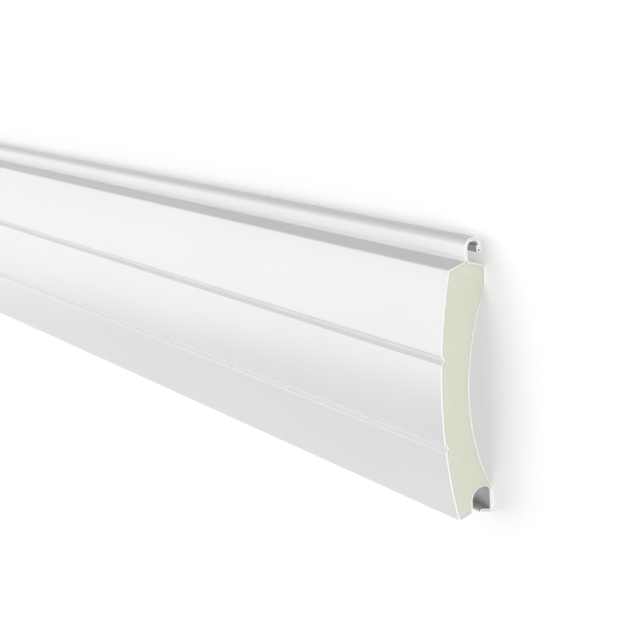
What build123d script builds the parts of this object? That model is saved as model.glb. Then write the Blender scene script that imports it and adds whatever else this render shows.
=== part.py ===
from build123d import *
import os
from math import copysign, cos, dist, radians, sin, sqrt, tan

# Roller shutter slat: one aluminium strip, roll-formed round a foam core and cut to length.
# The slat lies on its back. X runs along its length, Y from its lip up to its hook as it
# hangs, and Z from its flat back strips out to its bowed front. Sizes are in millimetres.
# A point of the section is (height, depth): its height above the front's bottom edge as
# the slat hangs, and its depth in front of the back strips. Sizes are those of the side
# of the strip that shows.

# Strip and cut length
length = 1000.0
sheet = 0.5                  # thickness of the strip
fold_gap = 0.1               # left between layers that are folded flat on each other

# Hanging
cover_height = 77.0          # from one slat to the next, with the hook seated in the channel
hanging_gap = 2.6            # the next slat's bottom edge then hangs this far above the front shoulder
seat_angle = 21.0            # slope of the lip, and of the rear shoulder under the hook

# Front
body_depth = 13.8            # the front's top and bottom edges
front_bow = 4.8              # how far the front bows out beyond those edges
front_shoulder_angle = 8.0
lower_groove_rise = 23.9     # from the bottom edge up to the lower groove
upper_groove_drop = 24.45    # from the front shoulder down to the upper groove
groove_width = 2.5
groove_sink = 1.15

# Back
rear_shoulder_drop = 1.75    # from the front shoulder's edge down to the upper back strip
back_strip_height = 5.8
hollow_bottom = 6.1          # the hollow back runs from the upper back strip down to here
hollow_depth = 7.8

# Hook
stem_depth = 6.45            # rear face of the stem
hook_height = 6.95           # from the front shoulder's edge up to the top
leg_length = 4.8             # from the top down to the leg's tip
leg_depth = 1.25             # rear face of the leg
hem_height = 2.2             # one edge of the strip wraps the tip this far up
inner_edge_lift = 0.55       # the other edge ends this far above the fold, inside it

# Channel
channel_depth = 8.3          # front wall
channel_front_top = 8.5
channel_rear_top = 6.6
lip_reach = 5.4              # how far the lip stands in from the back
foot_height = 0.4            # bottom flange where it meets the front wall

# Radii of the bends
hook_front_radius = 2.4
hook_rear_radius = 2.7
stem_front_radius = 0.6
stem_rear_radius = 1.0
shoulder_radius = 0.7
rear_shoulder_radius = 1.5
hollow_top_radius = 2.0
hollow_bottom_radius = 3.0
lip_corner_radius = 1.25
lip_root_radius = 0.15
channel_front_radius = 3.4
channel_rear_radius = 2.5
foot_radius = 1.2
bottom_radius = 0.9
groove_edge_radius = 0.6
groove_floor_radius = 0.3

# Worked out from the sizes above
double = 2 * sheet + fold_gap            # two layers folded flat
triple = 3 * sheet + 2 * fold_gap        # three layers, in the hook's seam
seat_slope = tan(radians(seat_angle))
tip_radius = triple / 2
shoulder_height = cover_height - hanging_gap
groove_heights = (lower_groove_rise, shoulder_height - upper_groove_drop)
back_strip_top = shoulder_height - rear_shoulder_drop
hook_top = shoulder_height + hook_height
hook_tip = hook_top - leg_length
stem_front = stem_depth + double
stem_foot_rear = back_strip_top + stem_depth * seat_slope
stem_foot_front = shoulder_height + (body_depth - stem_front) * tan(radians(front_shoulder_angle))


def arc_radius(chord, rise):
    """Radius of the arc that rises by `rise` over a chord: (chord²/4 + rise²) / (2 rise)."""
    return (chord**2 / 4 + rise**2) / (2 * rise)


front_radius = arc_radius(shoulder_height, front_bow)
hollow_radius = arc_radius(back_strip_top - back_strip_height - hollow_bottom, hollow_depth)


def front_depth(height):
    """Depth of the bowed front at a height, on its one arc from edge to edge."""
    rise = front_radius**2 - (height - shoulder_height / 2) ** 2
    return body_depth + front_bow - front_radius + rise**0.5


def lip_corner_height():
    """Height of the lip's outer corner that hangs the next slat `cover_height` lower.

    The leg's round tip then rests on the sloping lip and against the channel's rear wall.
    """
    tip_centre = hook_tip + tip_radius
    slope_under_tip = tip_centre - tip_radius / cos(radians(seat_angle))
    lip_rise = (double + tip_radius) * seat_slope + double / cos(radians(seat_angle))
    return slope_under_tip - cover_height - lip_rise


def groove(height):
    """A shallow V across the front: two edges on the bow and the floor between them."""
    low = height - groove_width / 2
    high = height + groove_width / 2
    return [
        (low, front_depth(low), groove_edge_radius, None),
        (height, front_depth(height) - groove_sink, groove_floor_radius, None),
        (high, front_depth(high), groove_edge_radius, front_radius),
    ]


def lip_end():
    """Both ends of the half round at the lip's tip, under the lip and on top of it."""
    radius = double / 2
    centre_depth = lip_reach - radius
    rise = sin(radians(seat_angle)) * radius
    under_depth = centre_depth + rise
    under = (lip_corner_height() + under_depth * seat_slope, under_depth)
    top = (under[0] + double * cos(radians(seat_angle)), under[1] - 2 * rise)
    return under, top


def route():
    """Corners of the strip: (height, depth, bend radius, radius of an arc to the next)."""
    lip_corner = lip_corner_height()
    under, top = lip_end()
    lip_root = lip_corner + double * seat_slope + double / cos(radians(seat_angle))
    inner_edge = hook_tip + sheet + inner_edge_lift
    tip_start = hook_tip + tip_radius
    corners = [
        (inner_edge, leg_depth + double, None, None),
        (hook_top - double, leg_depth + double, hook_rear_radius - double, None),
        (hook_top - double, stem_depth, hook_front_radius - double, None),
        (stem_foot_rear, stem_depth, stem_rear_radius, None),
        (back_strip_top, 0, rear_shoulder_radius, None),
        (back_strip_top - back_strip_height, 0, hollow_top_radius, -hollow_radius),
        (hollow_bottom, 0, hollow_bottom_radius, None),
        (lip_corner, 0, lip_corner_radius, None),
        (*under, None, double / 2),
        (*top, None, None),
        (lip_root, double, lip_root_radius, None),
        (channel_rear_top, double, channel_rear_radius, None),
        (channel_front_top, channel_depth, channel_front_radius, None),
        (foot_height, channel_depth, foot_radius, None),
        (0, body_depth, bottom_radius, front_radius),
    ]
    for height in groove_heights:
        corners += groove(height)
    corners += [
        (shoulder_height, body_depth, shoulder_radius, None),
        (stem_foot_front, stem_front, stem_front_radius, None),
        (hook_top, stem_front, hook_front_radius, None),
        (hook_top, leg_depth, hook_rear_radius, None),
        (tip_start, leg_depth, None, tip_radius),
        (tip_start, leg_depth + triple, None, None),
        (hook_tip + hem_height, leg_depth + triple, None, None),
    ]
    return corners


def stretch(start, end, radius):
    """The stretch from one corner to the next: straight, or an arc of the signed radius."""
    if radius is None:
        return Line(start, end)
    half_chord = dist(start, end) / 2
    rise = abs(radius) - sqrt(max(radius**2 - half_chord**2, 0))
    return SagittaArc(start, end, copysign(rise, radius))


def strip_line():
    """The line that the strip's outer side follows, with every bend rounded."""
    corners = route()
    edges = [stretch(start[:2], end[:2], start[3]) for start, end in zip(corners, corners[1:])]
    line = Wire([edge.edge() for edge in edges])
    for height, depth, bend, _ in corners:
        if bend:
            corner = line.vertices().sort_by_distance((height, depth, 0))[0]
            line = line.fillet_2d(bend, [corner])
    return line


def inside(edge, place):
    """The point on the strip's inner side across from a place along an outer edge."""
    return edge @ place + (edge % place).rotate(Axis.Z, -90) * sheet


def strip_section():
    """The strip's section: its outer side, its inner side one sheet away, and two cut edges."""
    outer = strip_line().order_edges()
    inner = []
    for edge in outer:
        start, middle, end = inside(edge, 0), inside(edge, 0.5), inside(edge, 1)
        straight = edge.geom_type == GeomType.LINE
        inner.append(Line(start, end) if straight else ThreePointArc(start, middle, end))
    cuts = [Line(outer[0] @ 0, inner[0] @ 0), Line(outer[-1] @ 1, inner[-1] @ 1)]
    return make_face([*outer, *inner, *cuts])


def foam_section(strip):
    """The section that the strip encloses, up to where its layers come together."""
    bow_top = body_depth + front_bow
    room = Polyline(
        (0, double),
        (hollow_bottom, double),
        (hollow_bottom, 0),
        (stem_foot_rear, 0),
        (stem_foot_rear, bow_top),
        (0, bow_top),
        close=True,
    )
    return (make_face(room) - strip).faces().sort_by(SortBy.AREA)[-1]


def as_cut(section, middle_height):
    """Stand a section on end across the slat and run it out to the cut length, both ways."""
    across = Plane.YZ * Pos(-middle_height, 0) * section
    return extrude(across, length / 2, both=True)


def main():
    strip = strip_section()
    foam = foam_section(strip)
    middle_height = strip.bounding_box().center().X
    os.makedirs("parts", exist_ok=True)
    export_step(as_cut(strip, middle_height), "parts/aluminium_skin.step")
    export_step(as_cut(foam, middle_height), "parts/foam_core.step")


main()
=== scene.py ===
# %% [markdown]
# # A foam-filled roller shutter slat
#
# A shutter curtain is made of slats like this one. Each is a single strip of lacquered
# aluminium, rolled into a closed section round a core of rigid foam. The hook along its top
# edge hangs in the channel of the slat above. This script dresses the measured model of one
# slat: it works out the strip's bends on a fine grid, saws the foam, and gives each surface
# its finish. Everything is in metres in the measured model's own frame.

import bmesh
import bpy
import numpy as np
from mathutils import Matrix, Vector


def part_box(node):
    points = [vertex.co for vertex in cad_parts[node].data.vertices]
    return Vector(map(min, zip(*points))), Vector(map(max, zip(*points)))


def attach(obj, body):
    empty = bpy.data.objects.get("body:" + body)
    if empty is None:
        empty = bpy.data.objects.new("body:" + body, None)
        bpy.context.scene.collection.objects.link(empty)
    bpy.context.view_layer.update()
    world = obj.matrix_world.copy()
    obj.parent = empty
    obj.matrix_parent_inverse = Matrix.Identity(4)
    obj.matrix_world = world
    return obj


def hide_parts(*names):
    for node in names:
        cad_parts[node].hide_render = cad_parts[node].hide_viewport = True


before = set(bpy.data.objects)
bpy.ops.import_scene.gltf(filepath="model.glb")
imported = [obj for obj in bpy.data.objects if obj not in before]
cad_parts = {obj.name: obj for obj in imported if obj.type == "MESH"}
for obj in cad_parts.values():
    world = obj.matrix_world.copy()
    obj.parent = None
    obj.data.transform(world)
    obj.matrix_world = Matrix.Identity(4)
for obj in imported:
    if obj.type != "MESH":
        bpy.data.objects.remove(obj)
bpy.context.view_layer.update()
half_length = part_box("aluminium_skin")[1].x

# %% [markdown]
# ## Sizes of the section
#
# The section is drawn in millimetres, like the roll-former's own drawing. A point on it is
# (height, depth): its height above the front's bottom edge as the slat hangs, and its depth
# in front of the flat back strips. The slat itself lies on those strips, so height becomes Y
# and depth becomes Z. The names are those of the measured model, and the few bare sizes give
# all the others.

# %% Sizes of the strip, the front and the back
millimetre = 0.001

sheet = 0.5
fold_gap = 0.1
cover_height = 77.0
hanging_gap = 2.6
seat_angle = np.radians(21.0)

body_depth = 13.8
front_bow = 4.8
front_shoulder_angle = np.radians(8.0)
lower_groove_rise = 23.9
upper_groove_drop = 24.45
groove_width = 2.5
groove_sink = 1.15

rear_shoulder_drop = 1.75
back_strip_height = 5.8
hollow_bottom = 6.1
hollow_depth = 7.8

# %% Sizes of the hook and the channel
stem_depth = 6.45
hook_height = 6.95
leg_length = 4.8
leg_depth = 1.25
hem_height = 2.2
inner_edge_lift = 0.55

channel_depth = 8.3
channel_front_top = 8.5
channel_rear_top = 6.6
lip_reach = 5.4
foot_height = 0.4

# %% Radii of the bends
hook_front_radius = 2.4
hook_rear_radius = 2.7
stem_front_radius = 0.6
stem_rear_radius = 1.0
shoulder_radius = 0.7
rear_shoulder_radius = 1.5
hollow_top_radius = 2.0
hollow_bottom_radius = 3.0
lip_corner_radius = 1.25
lip_root_radius = 0.15
channel_front_radius = 3.4
channel_rear_radius = 2.5
foot_radius = 1.2
bottom_radius = 0.9
groove_edge_radius = 0.6
groove_floor_radius = 0.3

# %% Places that follow from those sizes
double = 2 * sheet + fold_gap
triple = 3 * sheet + 2 * fold_gap
tip_radius = triple / 2
shoulder_height = cover_height - hanging_gap
back_strip_top = shoulder_height - rear_shoulder_drop
back_strip_bottom = back_strip_top - back_strip_height
hook_top = shoulder_height + hook_height
hook_tip = hook_top - leg_length
tip_start = hook_tip + tip_radius
stem_front = stem_depth + double
stem_foot_rear = back_strip_top + stem_depth * np.tan(seat_angle)
stem_foot_front = shoulder_height + (body_depth - stem_front) * np.tan(front_shoulder_angle)


def arc_radius(chord, rise):
    """Radius of the arc that rises by `rise` over a chord: (chord²/4 + rise²) / (2 rise)."""
    return (chord**2 / 4 + rise**2) / (2 * rise)


front_radius = arc_radius(shoulder_height, front_bow)
hollow_radius = arc_radius(back_strip_bottom - hollow_bottom, hollow_depth)
print(f"front bow {front_radius:.1f} mm, hollow back {hollow_radius:.1f} mm in radius")


def front_depth(height):
    """Depth of the bowed front: the arc's centre depth plus the root of radius² - offset²."""
    offset = height - shoulder_height / 2
    return body_depth + front_bow - front_radius + np.sqrt(front_radius**2 - offset**2)


# %% [markdown]
# ## The lip
#
# The lip is what the next slat's hook rests on. Its height isn't free: with the hook's round
# tip resting on its slope and against the channel's rear wall, two slats have to hang exactly
# one cover height apart.

# %% Heights of the lip
tip_centre = hook_tip + tip_radius
slope_under_tip = tip_centre - tip_radius / np.cos(seat_angle)
lip_rise = (double + tip_radius) * np.tan(seat_angle) + double / np.cos(seat_angle)
lip_corner = slope_under_tip - cover_height - lip_rise
lip_root = lip_corner + double * np.tan(seat_angle) + double / np.cos(seat_angle)

lip_radius = double / 2
under_depth = lip_reach - lip_radius + lip_radius * np.sin(seat_angle)
under_height = lip_corner + under_depth * np.tan(seat_angle)
lip_top_height = under_height + double * np.cos(seat_angle)
lip_top_depth = under_depth - double * np.sin(seat_angle)
print(f"lip corner at {lip_corner:.3f} mm, for slats {cover_height} mm apart")

# %% [markdown]
# ## The route of the strip
#
# A roll-former bends a flat strip step by step, so the section is one line that never
# crosses itself. It could be drawn as a closed outline, but then every change would have to
# be made twice, once on each side of the sheet. Here only the side that shows is written
# down, as a list of sharp corners: a name, height, depth, the radius of the bend at that
# corner, and the radius of the arc that leads on to the next corner. The other side follows
# from the sheet's thickness.

# %% Corners of the strip, in the order in which the strip runs
straight = np.inf
sharp = 0.0


def groove(name, height):
    """A shallow V across the front: two edges on the bow and the floor between them."""
    low, high = height - groove_width / 2, height + groove_width / 2
    floor = front_depth(height) - groove_sink
    return [
        (f"{name} groove, low edge", low, front_depth(low), groove_edge_radius, straight),
        (f"{name} groove, floor", height, floor, groove_floor_radius, straight),
        (f"{name} groove, high edge", high, front_depth(high), groove_edge_radius, front_radius),
    ]


lining_top = hook_top - double
lining_depth = leg_depth + double
back = [
    ("inner edge", hook_tip + sheet + inner_edge_lift, lining_depth, sharp, straight),
    ("hook lining, rear", lining_top, lining_depth, hook_rear_radius - double, straight),
    ("hook lining, front", lining_top, stem_depth, hook_front_radius - double, straight),
    ("stem foot, rear", stem_foot_rear, stem_depth, stem_rear_radius, straight),
    ("rear shoulder", back_strip_top, 0, rear_shoulder_radius, straight),
    ("hollow top", back_strip_bottom, 0, hollow_top_radius, -hollow_radius),
    ("hollow bottom", hollow_bottom, 0, hollow_bottom_radius, straight),
]
channel = [
    ("lip corner", lip_corner, 0, lip_corner_radius, straight),
    ("under the lip", under_height, under_depth, sharp, lip_radius),
    ("top of the lip", lip_top_height, lip_top_depth, sharp, straight),
    ("lip root", lip_root, double, lip_root_radius, straight),
    ("channel top, rear", channel_rear_top, double, channel_rear_radius, straight),
    ("channel top, front", channel_front_top, channel_depth, channel_front_radius, straight),
    ("foot", foot_height, channel_depth, foot_radius, straight),
    ("bottom edge", 0, body_depth, bottom_radius, front_radius),
]
grooves = groove("lower", lower_groove_rise) + groove("upper", shoulder_height - upper_groove_drop)
hook = [
    ("front shoulder", shoulder_height, body_depth, shoulder_radius, straight),
    ("stem foot, front", stem_foot_front, stem_front, stem_front_radius, straight),
    ("hook top, front", hook_top, stem_front, hook_front_radius, straight),
    ("hook top, rear", hook_top, leg_depth, hook_rear_radius, straight),
    ("hook tip, rear", tip_start, leg_depth, sharp, tip_radius),
    ("hook tip, front", tip_start, leg_depth + triple, sharp, straight),
    ("hem", hook_tip + hem_height, leg_depth + triple, sharp, straight),
]
route = back + channel + grooves + hook
corner_names = [corner[0] for corner in route]
corners = np.array([corner[1:] for corner in route])
print(len(corners), "corners from", corner_names[0], "to", corner_names[-1])

# %% [markdown]
# ## From corners to a smooth line
#
# A point of the section is held as one complex number, height + i depth, because a turn is
# then one multiplication. Straight stretches, the long arcs of front and back and the small
# bends are all the same thing: a run that turns evenly by some angle, which is zero when it
# is straight. So one formula draws them all, for every corner at once.


# %% One formula for every stretch and bend
def along(start, heading, run, turn, share):
    """Points on runs that turn evenly, at shares t of the way.

    start + run · heading · t · exp(i turn t / 2) · sin(turn t / 2) / (turn t / 2)
    """
    half_turn = turn * share / 2
    return start + run * heading * share * np.exp(1j * half_turn) * np.sinc(half_turn / np.pi)


def even_turn(start, end, turn):
    """Heading and run of the evenly turning lines from start to end.

    The chord points halfway between both headings, and is run · sin(turn / 2) / (turn / 2).
    """
    chord = end - start
    run = np.abs(chord) / np.sinc(turn / 2 / np.pi)
    return np.exp(-0.5j * turn) * chord / np.abs(chord), run


# %% Every stretch, cut short where its bends begin
steps_per_stretch = 16
stretch_share = np.linspace(0, 1, steps_per_stretch + 1)

place = corners[:, 0] + 1j * corners[:, 1]
bend_radius, arc = corners[:, 2], corners[:-1, 3]
turn = -2 * np.arcsin(np.clip(np.abs(np.diff(place)) / (2 * arc), -1, 1))
start_heading, run = even_turn(place[:-1], place[1:], turn)
end_heading = start_heading * np.exp(1j * turn)

# A bend of radius r that turns by a starts r · tan(|a| / 2) before its corner.
corner_turn = np.angle(start_heading[1:] / end_heading[:-1])
setback = np.zeros(len(place))
setback[1:-1] = bend_radius[1:-1] * np.tan(np.abs(corner_turn) / 2)
first, last = setback[:-1] / run, 1 - setback[1:] / run
share = first[:, None] + (last - first)[:, None] * stretch_share
stretches = along(place[:-1, None], start_heading[:, None], run[:, None], turn[:, None], share)
stretch_headings = start_heading[:, None] * np.exp(1j * turn[:, None] * share)
print(len(stretches), "stretches, the longest", round(run.max(), 1), "mm")

# %% Every bend, from the end of one stretch to the start of the next
steps_per_bend = 12
shortest_bend = 1e-9
bend_share = np.linspace(0, 1, steps_per_bend + 1)

# The points of a bend without a radius all stay at its corner.
bend_from, bend_to = stretches[:-1, -1], stretches[1:, 0]
bend_turn = np.angle(stretch_headings[1:, 0] / stretch_headings[:-1, -1])
rounded = np.abs(bend_to - bend_from) > shortest_bend
bend_heading, bend_run = even_turn(bend_from[rounded], bend_to[rounded], bend_turn[rounded])
bends = np.repeat(bend_from[:, None], len(bend_share), axis=1)
bends[rounded] = along(
    bend_from[rounded, None],
    bend_heading[:, None],
    bend_run[:, None],
    bend_turn[rounded, None],
    bend_share,
)
turned = np.exp(1j * bend_turn[rounded, None] * bend_share)
bend_headings = np.repeat(stretch_headings[:-1, -1:], len(bend_share), axis=1)
bend_headings[rounded] = bend_heading[:, None] * turned
print(rounded.sum(), "bends")


# %% Both sides of the strip
def in_turn(of_stretches, of_bends):
    """A stretch, the bend after it, the next stretch and so on, as one row of values."""
    return np.append(np.hstack([of_stretches[:-1], of_bends]).ravel(), of_stretches[-1])


closest_points = 1e-6

number = np.arange(len(stretches))
followed = in_turn(
    np.repeat(number[:, None], len(stretch_share), axis=1),
    np.repeat(number[1:, None], len(bend_share), axis=1),
)
outer = in_turn(stretches, bends)
heading = in_turn(stretch_headings, bend_headings)
fresh = np.append(True, np.abs(np.diff(outer)) > closest_points)
outer, heading, followed = outer[fresh], heading[fresh], followed[fresh]
inner = outer - 1j * heading * sheet
middle_height = (outer.real.min() + outer.real.max()) / 2
print(len(outer), "points on each side; middle height", round(middle_height, 3), "mm")

# %% [markdown]
# ## The aluminium skin
#
# The real strip is bent all along its length and then cut off square by a saw, which leaves
# bright bare metal where the lacquer ends. An extruded curve would give the shape, but not
# clean quads or a cut edge of its own, so the section is carried along X as a grid: one
# row of points for each station. The last fraction of a millimetre is drawn in a little, as
# the deburred edge that catches the light on a real cut.


# %% Put a section in space and make grids into meshes
def in_space(x, section):
    """Points of the slat in metres: x as it is, Y = height - middle height, Z = depth."""
    x = np.broadcast_to(x, section.shape)
    across = (section - middle_height) * millimetre
    return np.stack([x, across.real, across.imag], axis=-1).reshape(-1, 3)


def grid_faces(rows, columns, closed):
    """Four corners of each cell of a grid whose points are numbered row by row."""
    row = np.arange(rows - 1)[:, None] * columns
    column = np.arange(columns if closed else columns - 1)
    beside = (column + 1) % columns
    cells = [row + column, row + beside, row + columns + beside, row + columns + column]
    return np.stack(cells, axis=-1).reshape(-1, 4)


def new_mesh(name, points, faces, smooth, finish):
    """An object at the origin from arrays: points, quads, which are smooth and which finish."""
    mesh = bpy.data.meshes.new(name)
    mesh.from_pydata(points.tolist(), [], faces.tolist())
    mesh.polygons.foreach_set("use_smooth", smooth.astype(bool))
    mesh.polygons.foreach_set("material_index", finish.astype(np.int32))
    mesh.update()
    piece = bpy.data.objects.new(name, mesh)
    bpy.context.scene.collection.objects.link(piece)
    return piece


def turn_outwards(piece, merge_distance):
    """Merge doubled points and let every face point outwards."""
    shape = bmesh.new()
    shape.from_mesh(piece.data)
    bmesh.ops.remove_doubles(shape, verts=shape.verts, dist=merge_distance)
    bmesh.ops.recalc_face_normals(shape, faces=shape.faces)
    volume = shape.calc_volume() / millimetre**3
    shape.to_mesh(piece.data)
    shape.free()
    print(f"{piece.name}: {len(piece.data.polygons)} faces, {volume / 1000:.1f} cm³")


# %% Rings of points along the slat
burr = 0.05
hold = 0.25
station_spacing = 50 * millimetre

# The end rings are drawn in by the burr. The next ones are full, and so is a third close by,
# which keeps the shading of the long sides even.
inset = 1j * heading * burr
full_ring = np.concatenate([outer, inner[::-1]])
drawn_in_ring = np.concatenate([outer - inset, (inner + inset)[::-1]])
cut_stations = half_length - np.array([0, burr, hold]) * millimetre
held = cut_stations[-1]
inside_stations = np.linspace(-held, held, round(2 * held / station_spacing) + 1)
stations = np.concatenate([-cut_stations, inside_stations[1:-1], cut_stations[::-1]])
rings = np.tile(full_ring, (len(stations), 1))
rings[[0, -1]] = drawn_in_ring

# %% Faces of the skin, lacquered or bare
ring_size = len(full_ring)
span_count = len(stations) - 1
side_faces = grid_faces(len(stations), ring_size, closed=True)

# Bare are the cells next to a cut end, and the strip's two own edges all along the slat.
column = np.tile(np.arange(ring_size), span_count)
own_edge = (column == len(outer) - 1) | (column == ring_size - 1)
span = np.repeat(np.arange(span_count), ring_size)
bare_side = (span == 0) | (span == span_count - 1) | own_edge

point = np.arange(len(outer) - 1)
opposite = ring_size - 2 - point
end_face = np.stack([point, point + 1, opposite, opposite + 1], axis=-1)
far_end_face = end_face + span_count * ring_size
skin_faces = np.concatenate([side_faces, end_face, far_end_face])
bare = np.concatenate([bare_side, np.ones(2 * len(end_face), bool)])
skin = new_mesh("slat_skin", in_space(stations[:, None], rings), skin_faces, ~bare, bare)
turn_outwards(skin, merge_distance=1e-7)
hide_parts("aluminium_skin")
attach(skin, "root")

# %% [markdown]
# ## The foam core
#
# The foam is poured into the closing section and swells until it fills it, so its outline is
# the inner side of the strip, up to the places where two layers come together. Its cut ends
# are what shows. A flat cap would be dead to the light, so each end is a ruled patch: straight
# lines from the back line to the front line, close enough together to carry the saw's marks
# and the opened cells of the foam as real relief.


# %% The foam's back line, front line and arch
def inner_side(from_corner, to_corner):
    """Points of the strip's inner side from one corner's bend to the end of another's stretch."""
    low, high = corner_names.index(from_corner), corner_names.index(to_corner)
    return inner[(followed >= low) & (followed <= high)]


between_layers = sheet + fold_gap / 2
top_point = stem_foot_rear + 1j * (stem_depth + between_layers)
low_rear_point = hollow_bottom + 1j * between_layers
rear = inner_side("stem foot, rear", "hollow bottom")
rear = rear[(rear.real < stem_foot_rear) & (rear.real > hollow_bottom)]
rear = np.concatenate([[top_point], rear, [low_rear_point]])
front = inner_side("bottom edge", "stem foot, front")[::-1]
front = np.concatenate([[top_point], front[front.real < stem_foot_rear]])
arch = inner_side("channel top, rear", "foot")
bottom_run = np.isclose(np.angle(np.diff(arch)), np.angle(arch[-1] - arch[-2]))
arch = arch[np.argmax(arch.real > hollow_bottom) : np.argmax(bottom_run) + 1]
print("rear, front and arch lines:", len(rear), len(front), len(arch), "points")

# %% [markdown]
# Straight rulings must never leave the foam, and behind the channel's arch it runs down into
# a narrow wedge. So the patch forks there: one part goes down into the wedge, another goes
# round the front of the arch, and both start from the last ruling of the part above them.
# Places that face each other across the foam are paired, and between two pairs both lines
# are divided in the same number of steps.

# %% Rulings between two lines
foam_step = 0.2


def length_along(line):
    """Length along a line of points, at each of its points."""
    return np.append(0, np.cumsum(np.abs(np.diff(line))))


def nearest(line, place):
    """Number of the point of a line that is nearest to a place."""
    return np.argmin(np.abs(line - place))


def ruled(start_line, end_line, pairs, columns):
    """Points (1 - t) · start(s) + t · end(s), with s even along both lines between pairs."""
    lengths = length_along(start_line), length_along(end_line)
    marks = [
        [0, *(length[nearest(line, pair[side])] for pair in pairs), length[-1]]
        for side, (line, length) in enumerate(zip((start_line, end_line), lengths))
    ]
    mean_marks = np.mean(marks, axis=0)
    row = np.linspace(0, mean_marks[-1], round(mean_marks[-1] / foam_step) + 1)
    starts = np.interp(np.interp(row, mean_marks, marks[0]), lengths[0], start_line)
    ends = np.interp(np.interp(row, mean_marks, marks[1]), lengths[1], end_line)
    share = np.linspace(0, 1, columns + 1)
    return starts[:, None] * (1 - share) + ends[:, None] * share


def on_front(height):
    """The place on the front's inner side at a height."""
    return height + 1j * (front_depth(height) - sheet)


# %% Where the patch forks
fork_turn = np.radians(60.0)
fork_front_height = 22.0
wedge_columns = 5
columns = 66

# Only the arch's first bend, at the top of its rear wall, turns past that angle.
fork = nearest(np.angle(np.diff(arch)), fork_turn)
rear_fork, front_fork = nearest(rear, arch[fork]), nearest(front, on_front(fork_front_height))
print("fork at", np.round([rear[rear_fork], arch[fork], front[front_fork]], 2))

# %% The three parts of the patch
hollow_middle = (back_strip_bottom + hollow_bottom) / 2
upper_pairs = [
    (back_strip_top, shoulder_height + 1j * body_depth),
    (back_strip_bottom, on_front(back_strip_bottom)),
    (hollow_middle + 1j * hollow_depth, on_front(hollow_middle)),
]
lower_pairs = [(channel_front_top + 1j * channel_depth, on_front(channel_rear_top))]
upper = ruled(rear[: rear_fork + 1], front[: front_fork + 1], upper_pairs, columns)
wedge = ruled(rear[rear_fork:], arch[fork::-1], [], wedge_columns)
lower = ruled(arch[fork:], front[front_fork:], lower_pairs, columns - wedge_columns)

# The last rulings above the fork bend, so that the very last one touches the arch.
bent_rows = 90
last_row = np.append(wedge[0], lower[0, 1:])
bend_weight = np.clip(np.arange(1 - len(upper), 1) / bent_rows + 1, 0, 1) ** 2
upper = upper + bend_weight[:, None] * (last_row - upper[-1])


def cell_areas(grid):
    """Area of each cell of a grid, half the cross product of its diagonals."""
    rising, falling = grid[1:, 1:] - grid[:-1, :-1], grid[:-1, 1:] - grid[1:, :-1]
    return (falling.conj() * rising).imag / 2


for part_name, grid in (("upper", upper), ("wedge", wedge), ("lower", lower)):
    areas = cell_areas(grid)
    total, least, most = areas.sum(), areas.min(), areas.max()
    print(f"{part_name} {grid.shape}: {total:.1f} mm², cells {least:.4f} to {most:.4f}")

# %% [markdown]
# A saw leaves fine marks across the foam and opens the cells that it passes through. A cell
# is a hollow around one random centre in each square of a lattice. Its radius is drawn from
# a range that starts below zero, and a radius below zero leaves no hollow. Only a few are
# large enough to show, so most of the surface keeps a fine, even grain.

# %% Sizes of the relief
# Each set of cells: side of a lattice square, smallest and largest radius.
large_cells, large_steepness = (1.6, -0.6, 0.42), 0.25
small_cells, small_steepness = (0.8, -0.1, 0.24), 0.2
lattice_margin = 1 + 4j
spare_squares = 4
least_radius = 1e-6

mark_depth, mark_rate = 0.012, 7.0
sway, sway_rate = 0.6, 0.9
mean_depth = 0.08
fade_width = 0.15


# %% Relief of the sawn foam
def opened_cells(points, spacing, smallest, largest, seed):
    """Depth of round pits, one for each lattice square: radius · (1 - distance² / radius²)."""
    scattered = np.random.default_rng(seed)
    size = int(np.abs(points).max() / spacing) + spare_squares
    centre = scattered.random((size, size, 2))
    radius = scattered.uniform(smallest, largest, (size, size))
    shifted = points + lattice_margin * spacing
    square = np.stack([shifted.real // spacing, shifted.imag // spacing]).astype(int)
    depth = np.zeros(points.shape)
    for step_up in (-1, 0, 1):
        for step_across in (-1, 0, 1):
            up, across = square[0] + step_up, square[1] + step_across
            middle = (up + centre[up, across, 0]) + 1j * (across + centre[up, across, 1])
            reach = np.maximum(radius[up, across], least_radius)
            near = np.abs(shifted - middle * spacing) / reach
            depth = np.maximum(depth, radius[up, across] * np.clip(1 - near**2, 0, 1))
    return depth


def sawn_relief(points, wall_distance, seed):
    """Depth of the cut in millimetres: a mean depth, cells and saw marks, fading to the wall.

    The marks are a sine of the height, swayed by a sine of the depth. The fade is
    1 - exp(-distance / width).
    """
    cells = large_steepness * opened_cells(points, *large_cells, seed)
    cells = cells + small_steepness * opened_cells(points, *small_cells, seed + 1)
    swayed = points.real * mark_rate + sway * np.sin(points.imag * sway_rate + seed)
    saw_marks = mark_depth * np.sin(swayed)
    return (mean_depth + cells + saw_marks) * (1 - np.exp(-wall_distance / fade_width))


# %% Distance of every point of the patch from the metal
outline_step = 0.4
mean_miss = outline_step / 4

# The outline is marked every step, so the nearest mark misses by a quarter step on average.
parts = [upper, wedge, lower]
points = np.concatenate([grid.ravel() for grid in parts])
outline = np.concatenate([rear, arch, front[::-1]])
outline_length = length_along(outline)
marked_lengths = np.arange(0, outline_length[-1], outline_step)
marks = np.interp(marked_lengths, outline_length, outline)
gaps = np.abs(points.astype(np.complex64)[:, None] - marks.astype(np.complex64))
wall_distance = np.sqrt(np.maximum(gaps.min(axis=1) ** 2 - mean_miss**2, 0))
print(len(points), "points, up to", round(float(wall_distance.max()), 2), "mm from the metal")

# %% Faces of the foam as one closed shape
first_numbers = np.cumsum([0] + [grid.size for grid in parts])
numbered = list(zip(first_numbers, parts))
upper_at, wedge_at, lower_at = (
    first_number + np.arange(grid.size).reshape(grid.shape) for first_number, grid in numbered
)

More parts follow.
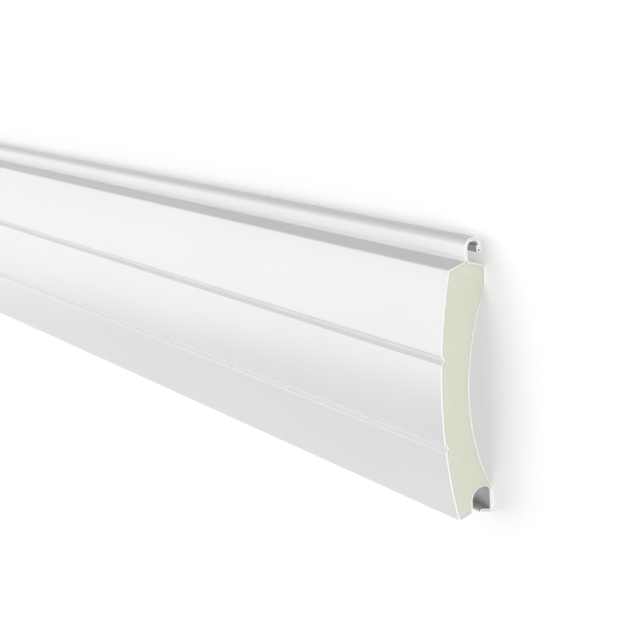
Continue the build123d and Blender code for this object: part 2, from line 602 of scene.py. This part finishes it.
# The rim runs down the back, round the wedge and the arch, and back up the front.
rim = np.concatenate([
    upper_at[:, 0], wedge_at[1:, 0], wedge_at[-1, 1:], wedge_at[-2::-1, -1],
    lower_at[1:, 0], lower_at[-1, 1:], lower_at[-2::-1, -1], upper_at[-2:0:-1, -1],
])
next_on_rim = np.roll(rim, -1)
walls = np.stack([rim, next_on_rim, next_on_rim + len(points), rim + len(points)], axis=-1)
end_faces = np.concatenate([
    first_number + grid_faces(*grid.shape, closed=False) for first_number, grid in numbered
])
foam_faces = np.concatenate([end_faces, end_faces + len(points), walls])
is_end = np.arange(len(foam_faces)) < 2 * len(end_faces)

# %% The foam with both ends sawn
near_seed, far_seed = 3, 8
# Width over which the painted shade next to the metal fades out.
painted_shade_width = 0.3

near_relief = sawn_relief(points, wall_distance, near_seed) * millimetre
far_relief = sawn_relief(points, wall_distance, far_seed) * millimetre
near_points = in_space(half_length - near_relief, points)
far_points = in_space(-half_length + far_relief, points)
foam_points = np.concatenate([near_points, far_points])
one_finish = np.zeros(len(foam_faces))
foam = new_mesh("slat_foam", foam_points, foam_faces, is_end, one_finish)
# Painted shade: a share, one at the metal and falling off inwards, that darkens the foam's colour.
painted_shade = foam.data.attributes.new("painted_shade", "FLOAT", "POINT")
painted_shade_shares = np.tile(np.exp(-wall_distance / painted_shade_width), 2)
painted_shade.data.foreach_set("value", painted_shade_shares.astype(np.float32))
turn_outwards(foam, merge_distance=2e-6)
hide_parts("foam_core")
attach(foam, "root")

# %% [markdown]
# ## Finishes
#
# Each finish is built from nodes that read the piece's own coordinates, in metres, so it
# stays put when the slat moves. A small set of helpers keeps each recipe short: a pattern, a
# change of range, and a bump that turns a pattern into relief.


# %% Helpers for all node trees
def feed(tree, socket, value):
    """Link a socket to another node's output, or set it to a number or a colour."""
    if isinstance(value, bpy.types.NodeSocket):
        tree.links.new(value, socket)
    else:
        socket.default_value = value


def add(tree, kind, **inputs):
    """A node of a kind, with its inputs fed by name."""
    node = tree.nodes.new(kind)
    for name, value in inputs.items():
        feed(tree, node.inputs[name.replace("_", " ")], value)
    return node


def arithmetic(tree, operation, first, second):
    """One sum, difference, product, power or maximum of two values."""
    node = tree.nodes.new("ShaderNodeMath")
    node.operation = operation
    feed(tree, node.inputs[0], first)
    feed(tree, node.inputs[1], second)
    return node.outputs[0]


# %% Helpers for the finishes
pattern_low, pattern_high = 0.3, 0.7


def new_finish(name):
    """A new material, its node tree and its main shader."""
    finish = bpy.data.materials.new(name)
    finish.use_nodes = True
    return finish, finish.node_tree, finish.node_tree.nodes["Principled BSDF"]


def own_place(tree, stretch=(1, 1, 1)):
    """The piece's own coordinates, multiplied along each axis."""
    coordinates = tree.nodes.new("ShaderNodeTexCoord").outputs["Object"]
    return add(tree, "ShaderNodeMapping", Vector=coordinates, Scale=stretch).outputs["Vector"]


def noise(tree, size, stretch=(1, 1, 1), detail=2.0):
    """Cloudy noise whose blotches are about `size` metres wide before stretching."""
    place = own_place(tree, stretch)
    pattern = add(tree, "ShaderNodeTexNoise", Vector=place, Scale=1 / size, Detail=detail)
    return pattern.outputs["Fac"]


def ranged(tree, value, low, high):
    """A pattern's middle values, spread from low to high."""
    node = add(tree, "ShaderNodeMapRange", Value=value)
    node.inputs["From Min"].default_value = pattern_low
    node.inputs["From Max"].default_value = pattern_high
    node.inputs["To Min"].default_value = low
    node.inputs["To Max"].default_value = high
    return node.outputs["Result"]


def blended(tree, share, first, second):
    """One colour turning into another by a share. A colour is red, green, blue and opacity."""
    node = tree.nodes.new("ShaderNodeMix")
    node.data_type = "RGBA"
    sockets = {socket.identifier: socket for socket in (*node.inputs, *node.outputs)}
    feed(tree, node.inputs["Factor"], share)
    feed(tree, sockets["A_Color"], first)
    feed(tree, sockets["B_Color"], second)
    return sockets["Result_Color"]


def relief(tree, height, depth):
    """A bump of a real depth in metres."""
    return add(tree, "ShaderNodeBump", Height=height, Distance=depth).outputs["Normal"]


# %% [markdown]
# The strip is lacquered while it is still flat, in a long oven line. The film is white and
# satin, very even, with the faint orange peel of any stoved lacquer. Lines from the rollers
# would be easy to add, as noise drawn out along X, but the real front shows none: even a
# hundredth more or less gloss reads as streaks. So the colour has broad, weak clouds, the
# peel is a bump of a thousandth of a millimetre, and the gloss is the same everywhere.

# %% Stoved white lacquer
film_low, film_high = (0.755, 0.76, 0.76, 1), (0.775, 0.78, 0.778, 1)
cloud_size, cloud_stretch = 0.02, (0.35, 1, 1)
peel_size, peel_depth = 0.0009, 1.0e-6

lacquer, tree, shader = new_finish("stoved_lacquer")
clouds = ranged(tree, noise(tree, cloud_size, cloud_stretch), 0, 1)
feed(tree, shader.inputs["Base Color"], blended(tree, clouds, film_low, film_high))
feed(tree, shader.inputs["Normal"], relief(tree, noise(tree, peel_size), peel_depth))
shader.inputs["Roughness"].default_value = 0.18
shader.inputs["IOR"].default_value = 1.58

# %% [markdown]
# Where the saw has cut the strip, the metal is bare and bright, with fine scratches that all
# run the way the blade passed, from front to back.

# %% Bare sawn aluminium
metal_low, metal_high = (0.80, 0.81, 0.80, 1), (0.89, 0.895, 0.885, 1)
least_rough, most_rough = 0.32, 0.5
scratch_size, scratch_stretch, scratch_depth = 0.0002, (1, 1, 0.05), 8.0e-6

cut_metal, tree, shader = new_finish("sawn_aluminium")
scratches = noise(tree, scratch_size, scratch_stretch)
metal_tint = blended(tree, ranged(tree, scratches, 0, 1), metal_low, metal_high)
feed(tree, shader.inputs["Base Color"], metal_tint)
feed(tree, shader.inputs["Roughness"], ranged(tree, scratches, least_rough, most_rough))
feed(tree, shader.inputs["Normal"], relief(tree, scratches, scratch_depth))
shader.inputs["Metallic"].default_value = 1.0
skin.data.materials.append(lacquer)
skin.data.materials.append(cut_metal)

# %% [markdown]
# Rigid polyurethane foam is cream with a touch of green. Next to the metal its colour is
# painted darker, as painted shade where the foam meets the skin. The painted shade follows
# the outline, so it comes from the attribute that the patch stored.

# %% Sawn foam
cream_low, cream_high = (0.755, 0.78, 0.652, 1), (0.785, 0.805, 0.675, 1)
# Colour of the painted shade where the foam meets the metal.
painted_shade_colour = (0.66, 0.68, 0.575, 1)
grain_size, grain_detail = 0.0011, 3.0
pore_size, pore_depth = 0.00035, 3.0e-5

sawn_foam, tree, shader = new_finish("sawn_foam")
grain = ranged(tree, noise(tree, grain_size, detail=grain_detail), 0, 1)
cream = blended(tree, grain, cream_low, cream_high)
# The stored share paints shade into the foam's colour next to the metal.
stored_painted_shade = add(tree, "ShaderNodeAttribute")
stored_painted_shade.attribute_name = "painted_shade"
foam_colour = blended(tree, stored_painted_shade.outputs["Fac"], cream, painted_shade_colour)
feed(tree, shader.inputs["Base Color"], foam_colour)
pores = add(tree, "ShaderNodeTexVoronoi", Vector=own_place(tree), Scale=1 / pore_size)
feed(tree, shader.inputs["Normal"], relief(tree, pores.outputs["Distance"], pore_depth))
shader.inputs["Roughness"].default_value = 0.9
shader.inputs["Specular IOR Level"].default_value = 0.25
foam.data.materials.append(sawn_foam)

# %% [markdown]
# ## Floor
#
# The slat lies on a plain pale floor. For the camera, and in what glossy surfaces mirror, the
# floor is lifted to white, but only by adding light of its own there, so the slat's soft
# shadow stays. Light that it throws back onto the slat is that of a plain pale floor.

# %% Pale floor that keeps the shadow
floor_half = 6.0
plain_grey, seen_grey = (0.6, 0.6, 0.6, 1), (0.62, 0.62, 0.62, 1)
white = (1, 1, 1, 1)
lift_strength = 0.48

bpy.ops.mesh.primitive_plane_add(size=2 * floor_half, location=(0, 0, 0))
floor = bpy.context.object
floor.name = "floor"
floor_finish = bpy.data.materials.new("pale_floor")
floor_finish.use_nodes = True
tree = floor_finish.node_tree
tree.nodes.clear()
plain = add(tree, "ShaderNodeBsdfDiffuse", Color=plain_grey)
seen_plain = add(tree, "ShaderNodeBsdfDiffuse", Color=seen_grey)
lift = add(tree, "ShaderNodeEmission", Color=white, Strength=lift_strength)
seen = tree.nodes.new("ShaderNodeAddShader")
tree.links.new(seen_plain.outputs[0], seen.inputs[0])
tree.links.new(lift.outputs[0], seen.inputs[1])


def mirrored_or_seen(tree):
    """1 for rays from the camera and rays that a glossy or clear surface sends on, else 0."""
    path = tree.nodes.new("ShaderNodeLightPath")
    total = path.outputs["Is Camera Ray"]
    for name in ("Is Glossy Ray", "Is Transmission Ray"):
        total = arithmetic(tree, "MAXIMUM", total, path.outputs[name])
    return total


choice = tree.nodes.new("ShaderNodeMixShader")
tree.links.new(mirrored_or_seen(tree), choice.inputs[0])
tree.links.new(plain.outputs[0], choice.inputs[1])
tree.links.new(seen.outputs[0], choice.inputs[2])
output = tree.nodes.new("ShaderNodeOutputMaterial")
tree.links.new(choice.outputs[0], output.inputs[0])
floor.data.materials.append(floor_finish)
print("floor", 2 * floor_half, "m square")

# %% [markdown]
# ## Studio light
#
# The light is soft and plain: four lobes in the world, each a cosine raised to a power. The
# main one is like a wide window above the slat's far end, and stops at a sill on the side of
# the channel. The bowed front mirrors that sill as the soft change of tone between its two
# grooves. The second stands low before the cut end, a little to the channel's side, so that
# the foam is lit although the front is turned away from it, and the crease under the hook
# stays dark. Two weaker ones light the channel's side and the hook's side. Behind the lobes is
# a plain white background, for the camera and in what glossy surfaces mirror. The camera sees
# that white alone, and the lacquer mirrors the lobes in front of it: without them, no sill
# would show. Lamps would give the same light with more noise.

# %% World light
world = bpy.data.worlds.new("studio")
bpy.context.scene.world = world
world.use_nodes = True
tree = world.node_tree
tree.nodes.clear()
direction = tree.nodes.new("ShaderNodeTexCoord").outputs["Generated"]


def lobe(tree, towards, sharpness, strength):
    """A soft patch of light: strength · max(cosine to its middle, 0) ^ sharpness."""
    aim = tree.nodes.new("ShaderNodeVectorMath")
    aim.operation = "DOT_PRODUCT"
    tree.links.new(direction, aim.inputs[0])
    aim.inputs[1].default_value = Vector(towards).normalized()
    cosine = arithmetic(tree, "MAXIMUM", aim.outputs["Value"], 0.0)
    return arithmetic(tree, "MULTIPLY", arithmetic(tree, "POWER", cosine, sharpness), strength)


window = lobe(tree, towards=(-0.62, 0.0, 0.79), sharpness=8.0, strength=3.78)
sill_low, sill_high = -0.45, -0.25
height = add(tree, "ShaderNodeSeparateXYZ", Vector=direction).outputs["Y"]
above_sill = add(tree, "ShaderNodeMapRange", Value=height)
above_sill.interpolation_type = "SMOOTHSTEP"
above_sill.inputs["From Min"].default_value = sill_low
above_sill.inputs["From Max"].default_value = sill_high
strength = arithmetic(tree, "MULTIPLY", window, above_sill.outputs["Result"])
softer_lights = [
    lobe(tree, towards=(0.95, -0.3, 0.15), sharpness=20.0, strength=9.8),
    lobe(tree, towards=(0.0, -0.9, 0.45), sharpness=3.0, strength=0.42),
    lobe(tree, towards=(-0.3, 0.8, 0.5), sharpness=8.0, strength=1.1),
]
for light in softer_lights:
    strength = arithmetic(tree, "ADD", strength, light)

# The camera sees no lobes, only the white behind them.
camera_ray = tree.nodes.new("ShaderNodeLightPath").outputs["Is Camera Ray"]
no_camera_ray = arithmetic(tree, "SUBTRACT", 1.0, camera_ray)
strength = arithmetic(tree, "MULTIPLY", strength, no_camera_ray)
strength = arithmetic(tree, "ADD", strength, mirrored_or_seen(tree))
lighting = add(tree, "ShaderNodeBackground", Color=white, Strength=strength)
output = tree.nodes.new("ShaderNodeOutputWorld")
tree.links.new(lighting.outputs[0], output.inputs[0])
bpy.context.scene.view_settings.view_transform = "Standard"

# %% [markdown]
# ## Camera
#
# The photograph was taken close to the cut end, from in front and a little above, with the
# slat upright. Here the slat lies on its back, so the camera looks down on it and is turned
# about its line of sight, which gives the same view of the slat.

# %% Camera at the photograph's angle
camera_place = Vector((0.7112, 0.1205, 0.2215))
line_of_sight = Vector((-0.7511, -0.3123, -0.5816)).normalized()
picture_up = Vector((-0.1966, 0.9468, -0.2546))
picture_right = line_of_sight.cross(picture_up).normalized()
picture_up = picture_right.cross(line_of_sight)
lens = bpy.data.cameras.new("camera")
lens.sensor_width = 36.0
lens.lens = 65.25
lens.clip_start = 0.01
camera = bpy.data.objects.new("camera", lens)
bpy.context.scene.collection.objects.link(camera)
axes = Matrix((picture_right, picture_up, -line_of_sight)).transposed()
camera.matrix_world = Matrix.Translation(camera_place) @ axes.to_4x4()
bpy.context.scene.camera = camera
cut_end = Vector((half_length, 0, 0))
print("camera", round((camera_place - cut_end).length, 3), "m from the cut end")
